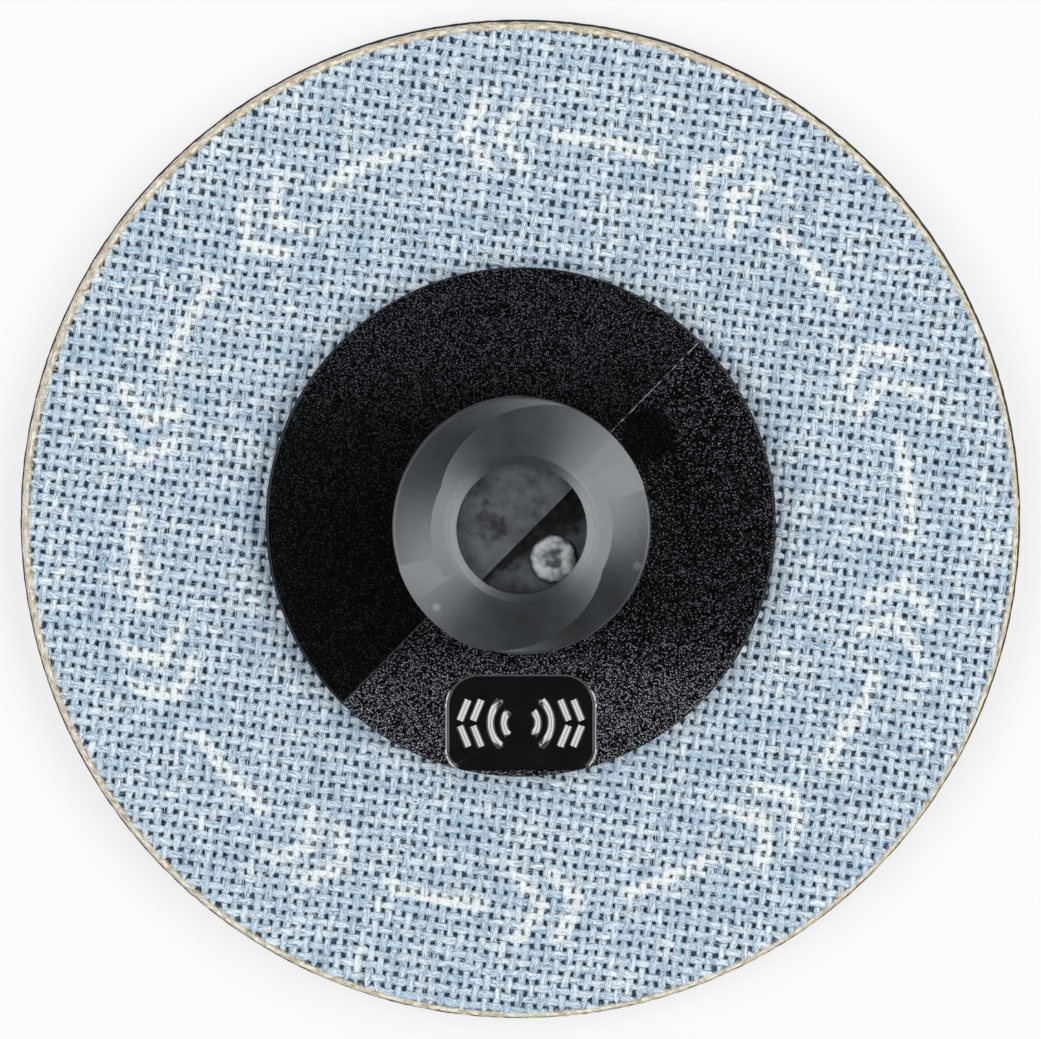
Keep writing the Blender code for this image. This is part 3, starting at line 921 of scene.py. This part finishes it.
def hubBody():
    # half section from the underside's axis, round the rim and up the stem, to the recess's axis
    rimTop = hubLow.z + hub["flangeRimThickness"]
    rimRound = hub["flangeRimRound"]
    footRound = hub["flangeFootRound"]
    root = hub["coreRadius"] + hub["rootRound"]
    lip = arc(
        hub["lipRadius"], hub["stemTop"] - hub["lipRound"], hub["lipRound"],
        90 - math.degrees(hub["crownSlope"]), 90 + math.degrees(hub["lipInnerSlope"]), 12,
    )
    chamferLow = lip[-1, 1] - hub["lipChamfer"] * math.tan(hub["lipInnerSlope"])
    cone = np.linspace(flangeRadius - rimRound, root, 12)[1:-1]
    profile = np.concatenate([
        [[hub["innerRadius"], hubLow.z]],
        arc(flangeRadius - footRound, hubLow.z + footRound, footRound, -90, 0, 4),
        arc(flangeRadius - rimRound, rimTop - rimRound, rimRound, 0, 90, 10),
        np.stack([cone, flangeSurface(cone)], -1),
        arc(root, hub["flangeTop"] + hub["rootRound"], hub["rootRound"], 270, 180, 8),
        [[hub["coreRadius"], crownHeight(hub["coreRadius"]) - hub["offset"]]],
        lip,
        [[hub["recessRadius"], height] for height in (chamferLow, hub["recessFloor"])],
        [[hub["innerRadius"], hub["recessFloor"]]],
    ])
    return addMesh("hub_body", *loft(turned(profile[:, 0], profile[:, 1], hubAngles())))


def threadSection():
    # one ridge as (radius, height from its middle), top first: straight flanks, rounded crest corners
    flank = (thread["rootWidth"] - thread["crestWidth"]) / 2 / (thread["crestRadius"] - hub["coreRadius"])
    inner = hub["coreRadius"] - hub["overrun"] / 2
    crown = thread["crestRound"]
    turn = np.linspace(0, np.pi / 2, 6)
    rounded = np.stack([
        thread["crestRadius"] - crown + crown * np.sin(turn),
        thread["crestWidth"] / 2 + flank * crown - crown * 0.75 * (1 - np.cos(turn)),
    ], -1)
    root = [[inner, thread["crestWidth"] / 2 + flank * (thread["crestRadius"] - inner)]]
    half = np.concatenate([root, rounded])
    return np.concatenate([half, half[::-1] * [1, -1]])


def threadRidge(number):
    # the section carried up the helix: its angle grows by a whole turn for each lead of height
    section = threadSection()[::-1]
    low = hubLow.z + hub["flangeRimThickness"] / 2 - thread["rootWidth"]
    high = hub["stemTop"] + thread["rootWidth"]
    z = np.linspace(low, high, int(thread["stepsPerTurn"] * (high - low) / thread["lead"]))[:, None]
    startZ = hub["stemTop"] + thread["rootWidth"] / 2
    angle = thread["start"] + np.pi * number + 2 * np.pi * (z - startZ) / thread["lead"]
    rings = polar(section[:, 0], angle, z + section[:, 1])
    return addMesh(f"ridge_{number}", *loft(rings[None]))


def threadSpace():
    # what the ridges may fill: under the crown's slope, above the flange's middle
    outer = thread["crestRadius"] + hub["overrun"]
    inner = hub["coreRadius"] - hub["overrun"]
    low = hubLow.z + hub["flangeRimThickness"] / 2
    radii = np.array([hub["innerRadius"], outer, outer, inner, hub["innerRadius"]])
    heights = np.array([low, low, crownHeight(outer), crownHeight(inner), crownHeight(inner)])
    return addMesh("thread_space", *loft(turned(radii, heights, hubAngles())))


def padOutline(grow):
    # rounded oblong near the flange's edge, with wider corners towards the stem
    outer = -(flangeRadius - pad["margin"]) - grow
    inner = outer + pad["length"] + 2 * grow
    side = pad["width"] / 2 + grow
    near = pad["innerCorner"] + grow
    far = pad["outerCorner"] + grow
    corners = [
        (side - near, inner - near, near), (near - side, inner - near, near),
        (far - side, outer + far, far), (side - far, outer + far, far),
    ]
    arcs = [arc(*corner, 90 * turn, 90 * turn + 90, 16) for turn, corner in enumerate(corners)]
    return np.concatenate(arcs)


def padCutter():
    # a wall from the pad's floor, opening into a small round that follows the flange's slope
    floor = padOutline(0)
    rings = [np.column_stack([floor, np.full(len(floor), hubLow.z + pad["floor"])])]
    for grow, stand in padMouth:
        outline = padOutline(grow * mm)
        surface = flangeSurface(np.hypot(outline[:, 0], outline[:, 1]))
        rings.append(np.column_stack([outline, surface + stand * mm]))
    return addMesh("pad_cutter", *loft(np.array(rings)[None]))


def floorCutter():
    # the lower half of the recess's floor, a flat step below the upper half
    radius = hub["recessRadius"] - hub["offset"]
    span = math.acos(hub["stepOffset"] / radius)
    turn = hub["away"] + np.linspace(-span, span, 60)
    levels = (hub["recessFloor"] - hub["floorStep"], hub["recessFloor"] + hub["overrun"])
    rings = [polar(radius, turn, level) for level in levels]
    return addMesh("floor_cutter", *loft(np.array(rings)[None]))


def worked(body, *steps):
    # works the listed Booleans into one mesh
    for operation, other in steps:
        cut = body.modifiers.new(other.name, "BOOLEAN")
        cut.operation = operation
        cut.object = other
    made = bpy.data.meshes.new_from_object(body.evaluated_get(bpy.context.evaluated_depsgraph_get()))
    body.modifiers.clear()
    body.data = made
    return body


def read(collection, key):
    # one vector for each item of a mesh, as rows
    values = np.empty(len(collection) * 3, np.float32)
    collection.foreach_get(key, values)
    return values.reshape(-1, 3)


def insidePad(x, y):
    # distance to the pad's rounded outline, below zero inside it; the polish takes in the lip except on
    # the narrow strip along the flange's rim
    middle = -(flangeRadius - pad["margin"]) + pad["length"] / 2
    corner = np.where(y > middle, pad["innerCorner"], pad["outerCorner"])
    overX = np.abs(x) - pad["width"] / 2 + corner
    overY = np.abs(y - middle) - pad["length"] / 2 + corner
    outside = np.hypot(np.maximum(overX, 0), np.maximum(overY, 0))
    reach = np.where(y < middle - pad["length"] / 2, pad["rimPolish"], pad["lipPolish"])
    return outside + np.minimum(np.maximum(overX, overY), 0) - corner < reach


def mouldButton():
    # the body joined with both ridges, then cut for the recess's lower floor and the pad
    space = threadSpace()
    ridges = [worked(threadRidge(number), ("INTERSECT", space)) for number in range(2)]
    cutters = [floorCutter(), padCutter()]
    steps = [("UNION", ridge) for ridge in ridges] + [("DIFFERENCE", cutter) for cutter in cutters]
    button = worked(hubBody(), *steps)
    button.name = "button"
    for helper in [space, *ridges, *cutters]:
        bpy.data.objects.remove(helper)
    mesh = button.data
    stemRadius = thread["crestRadius"] + 0.05 * mm
    flangeMiddle = hubLow.z + 0.5 * mm
    # the mould's halves don't quite meet: past the parting line the flange sits a little lower
    points = read(mesh.vertices, "co")
    across = partingSide(points[:, 0], points[:, 1])
    outside = np.hypot(points[:, 0], points[:, 1]) > stemRadius
    onTop = (points[:, 2] > flangeMiddle) & outside & (across > 0)
    points[:, 2] -= hub["partingStep"] * onTop
    mesh.vertices.foreach_set("co", points.ravel())
    # finishes by place: 0 flange, 1 stem, 2 recess floor, 3 pad
    centres = read(mesh.polygons, "center")
    facing = read(mesh.polygons, "normal")[:, 2]
    radius = np.hypot(centres[:, 0], centres[:, 1])
    height = centres[:, 2]
    stem = (radius < stemRadius) & (height > hub["flangeTop"] + 0.05 * mm)
    recess = (radius < hub["recessRadius"]) & (facing > 0.9) & (height > hub["flangeTop"])
    sunk = (height > flangeMiddle) & (height < flangeSurface(radius) - hub["partingStep"] - 0.006 * mm)
    finish = np.select([insidePad(centres[:, 0], centres[:, 1]) & sunk, recess, stem], [3, 2, 1], 0)
    for paint in (flangePaint(), stemPaint(), recessPaint(), polishedPaint()):
        mesh.materials.append(paint.owner)
    mesh.polygons.foreach_set("material_index", finish.astype(np.int32))
    mesh.update()
    dress(button, None, "black_plastic", "hub_button", sharp=30)


gate = {
    "distance": 2.2 * mm,
    "radii": np.array([0.3, 1.22, 1.20, 1.15, 1.08, 0.93, 0.74, 0.54, 0.34, 0.14]) * mm,
    "heights": np.array([-0.05, -0.05, 0.06, 0.16, 0.26, 0.34, 0.35, 0.29, 0.17, 0.14]) * mm,
    "seed": 17,
}
flash = {"halfWidth": 0.035 * mm, "seed": 29}


def tearGate():
    # the torn stub on the recess's lower floor: a short plug with a ragged rim and a pitted middle
    dice = np.random.default_rng(gate["seed"])
    floor = hub["recessFloor"] - hub["floorStep"]
    angles = fullTurn(64)
    radii = gate["radii"]
    heights = floor + gate["heights"]
    x, y = np.moveaxis(polar(radii[:, None], angles), -1, 0)
    torn = 0.04 * mm * fieldWaves(x, y, 0.7 * mm, dice) * (heights > floor + 0.15 * mm)[:, None]
    ragged = 1 + 0.025 * fieldWaves(np.cos(angles) * mm, np.sin(angles) * mm, 1.1 * mm, dice)
    stub = turned(radii[:, None] * ragged, heights[:, None] + torn, angles)
    stub[..., :2] += polar(gate["distance"], hub["away"])
    dress(addMesh("gate_stub", *loft(stub)), tornPaint(), "black_plastic")


def partingFlash():
    # thin lines of flash where the mould's halves met, from the stem out to the flange's rim, with a painted
    # highlight along them
    dice = np.random.default_rng(flash["seed"])
    radius = np.linspace(thread["crestRadius"] * 0.8, flangeRadius - hub["flangeRimRound"], 60)
    height = flangeSurface(radius) - hub["partingStep"] / 2
    turns = hub["parting"] + np.array([[0], [np.pi]])
    paths = polar(radius, turns, height)
    broad = flash["halfWidth"] * (1 + 0.4 * waves(radius + turns, 0.6 * mm, dice))
    paint = Paint("flash line", Roughness=0.35)
    at, _, y, _ = paint.place()
    # painted highlight: pale patches along the flash where its edge would catch the light, mostly towards
    # the top of the picture
    flashHighlight = paint.noise(at, 4, 2).rise(0.40, 0.62) * (0.10 + y.rise(0, 2) * 0.90)
    paint.colour(flashHighlight, srgb(6, 7, 10), srgb(138, 143, 152))
    lines = tubes(paths, broad, broad, regular(8), np.arange(2))
    dress(addMesh("parting_flash", *lines), paint, "black_plastic")


relief = {
    "rings": ((1.52 * mm, 52), (0.85 * mm, 46)),  # radius, and half of the turn of each arc in degrees
    "chevronTips": (2.40 * mm, 3.05 * mm),
    "chevronReach": 0.45 * mm,
    "armStart": 0.10 * mm,
    "armEnd": 1.20 * mm,
    "steps": 60,
}


def padRelief():
    # raised roof-shaped beads on the pad: two split rings between pairs of chevrons
    floor = hubLow.z + pad["floor"] - hub["partingStep"]
    centre = np.array([0.0, -(flangeRadius - pad["margin"]) + pad["length"] / 2])
    steps = relief["steps"]
    share = np.linspace(0, 1, steps)[:, None]
    strokes = []
    for (ring, half), turn in itertools.product(relief["rings"], (0, 180)):
        strokes.append(arc(0, 0, ring, turn - half, turn + half, steps))
    for side, apex, arm in itertools.product((-1, 1), relief["chevronTips"], (-1, 1)):
        tip = np.array([side * apex, arm * relief["armStart"]])
        end = np.array([side * (apex - relief["chevronReach"]), arm * relief["armEnd"]])
        strokes.append(tip * (1 - share) + end * share)
    paths = np.array([np.column_stack([centre + stroke, np.full(steps, floor)]) for stroke in strokes])
    taper = np.minimum(1, np.minimum(share, 1 - share)[:, 0] * 16 + 0.45) * np.ones(paths.shape[:2])
    section = np.array([[-0.95, -0.5], [0.95, -0.5], [1, 0], [0.10, 0.97], [0, 1], [-0.10, 0.97], [-1, 0]])
    halfWidth = pad["beadHalfWidth"] * taper
    beads = tubes(paths, halfWidth, pad["beadHeight"] * taper, section, np.arange(len(paths)))
    dress(addMesh("pad_relief", *beads), polishedPaint(), "black_plastic", sharp=40)


print("hub: moulding")
mouldButton()
tearGate()
partingFlash()
padRelief()

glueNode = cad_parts["hub_glue"]
gluePaint = Paint("hub adhesive", Roughness=0.4)
glueFlow = gluePaint.noise(gluePaint.place()[0], 0.8, 3)
gluePaint.colour(glueFlow, srgb(60, 58, 56), srgb(104, 100, 92))
gluePaint.bump(glueFlow, 0.02 * mm)
glueNode.data.materials.clear()
glueNode.data.materials.append(gluePaint.owner)
print("hub: done")


# floor and light

def softbox(name, azimuth, lift, away, wide, high, brightness):
    # a rectangular lamp that faces the disc; a power of 4 x brightness x area makes it look that bright
    data = bpy.data.lights.new(name, "AREA")
    data.shape = "RECTANGLE"
    data.size = wide
    data.size_y = high
    data.energy = 4 * brightness * wide * high
    lamp = bpy.data.objects.new(name, data)
    turn = math.radians(azimuth)
    tilt = math.radians(lift)
    flat = away * math.cos(tilt)
    lamp.location = (flat * math.cos(turn), flat * math.sin(turn), away * math.sin(tilt))
    lamp.rotation_euler = (math.pi / 2 - tilt, 0, turn + math.pi / 2)
    scene.collection.objects.link(lamp)


softbox("left_light", 187, 50, 0.42, 0.46, 0.23, 2.9)
softbox("right_light", 6, 50, 0.42, 0.56, 0.23, 2.9)

# floor: pale, and plain white to the camera and to gloss, with part of its shadow kept
floorPaint = Paint("pale floor", Base_Color=(0.80, 0.80, 0.80, 1), Roughness=0.8)
kinds = ("Is Camera Ray", "Is Glossy Ray", "Is Transmission Ray")
rays = [floorPaint.add("ShaderNodeLightPath", output=kind) for kind in kinds]
seen = rays[0].largest(rays[1]).largest(rays[2])
white = floorPaint.add("ShaderNodeEmission", None, {"Color": (0.985, 0.985, 0.985, 1), "Strength": 1.0})
lit = Wire(floorPaint, floorPaint.shader.outputs[0])
surface = floorPaint.add("ShaderNodeMixShader", None, {0: seen * 0.72, 1: lit, 2: white})
floorPaint.tree.links.new(surface.socket, floorPaint.tree.nodes["Material Output"].inputs["Surface"])
floorCorners = np.array([[-1.2, -1.2, 0], [1.2, -1.2, 0], [1.2, 1.2, 0], [-1.2, 1.2, 0]])
floor = addMesh("floor", floorCorners, np.array([[0, 1, 2, 3]]), np.zeros((0, 3), int))
floor.data.materials.append(floorPaint.owner)

# room: pale at the horizon, dark overhead, and brighter towards the top of the picture
world = bpy.data.worlds.new("studio")
room = Paint("studio", world, "Background")
east, north, lift = room.parts(room.add("ShaderNodeTexCoord", output="Generated"))
level = lift.rise(0.80, 0.28) * (0.72 + north * 0.28)
room.feed("Color", room.mix(level, (0.03, 0.03, 0.035, 1), (0.95, 0.95, 0.95, 1)))
scene.world = world
scene.view_settings.view_transform = "Standard"
print("floor and light: done")
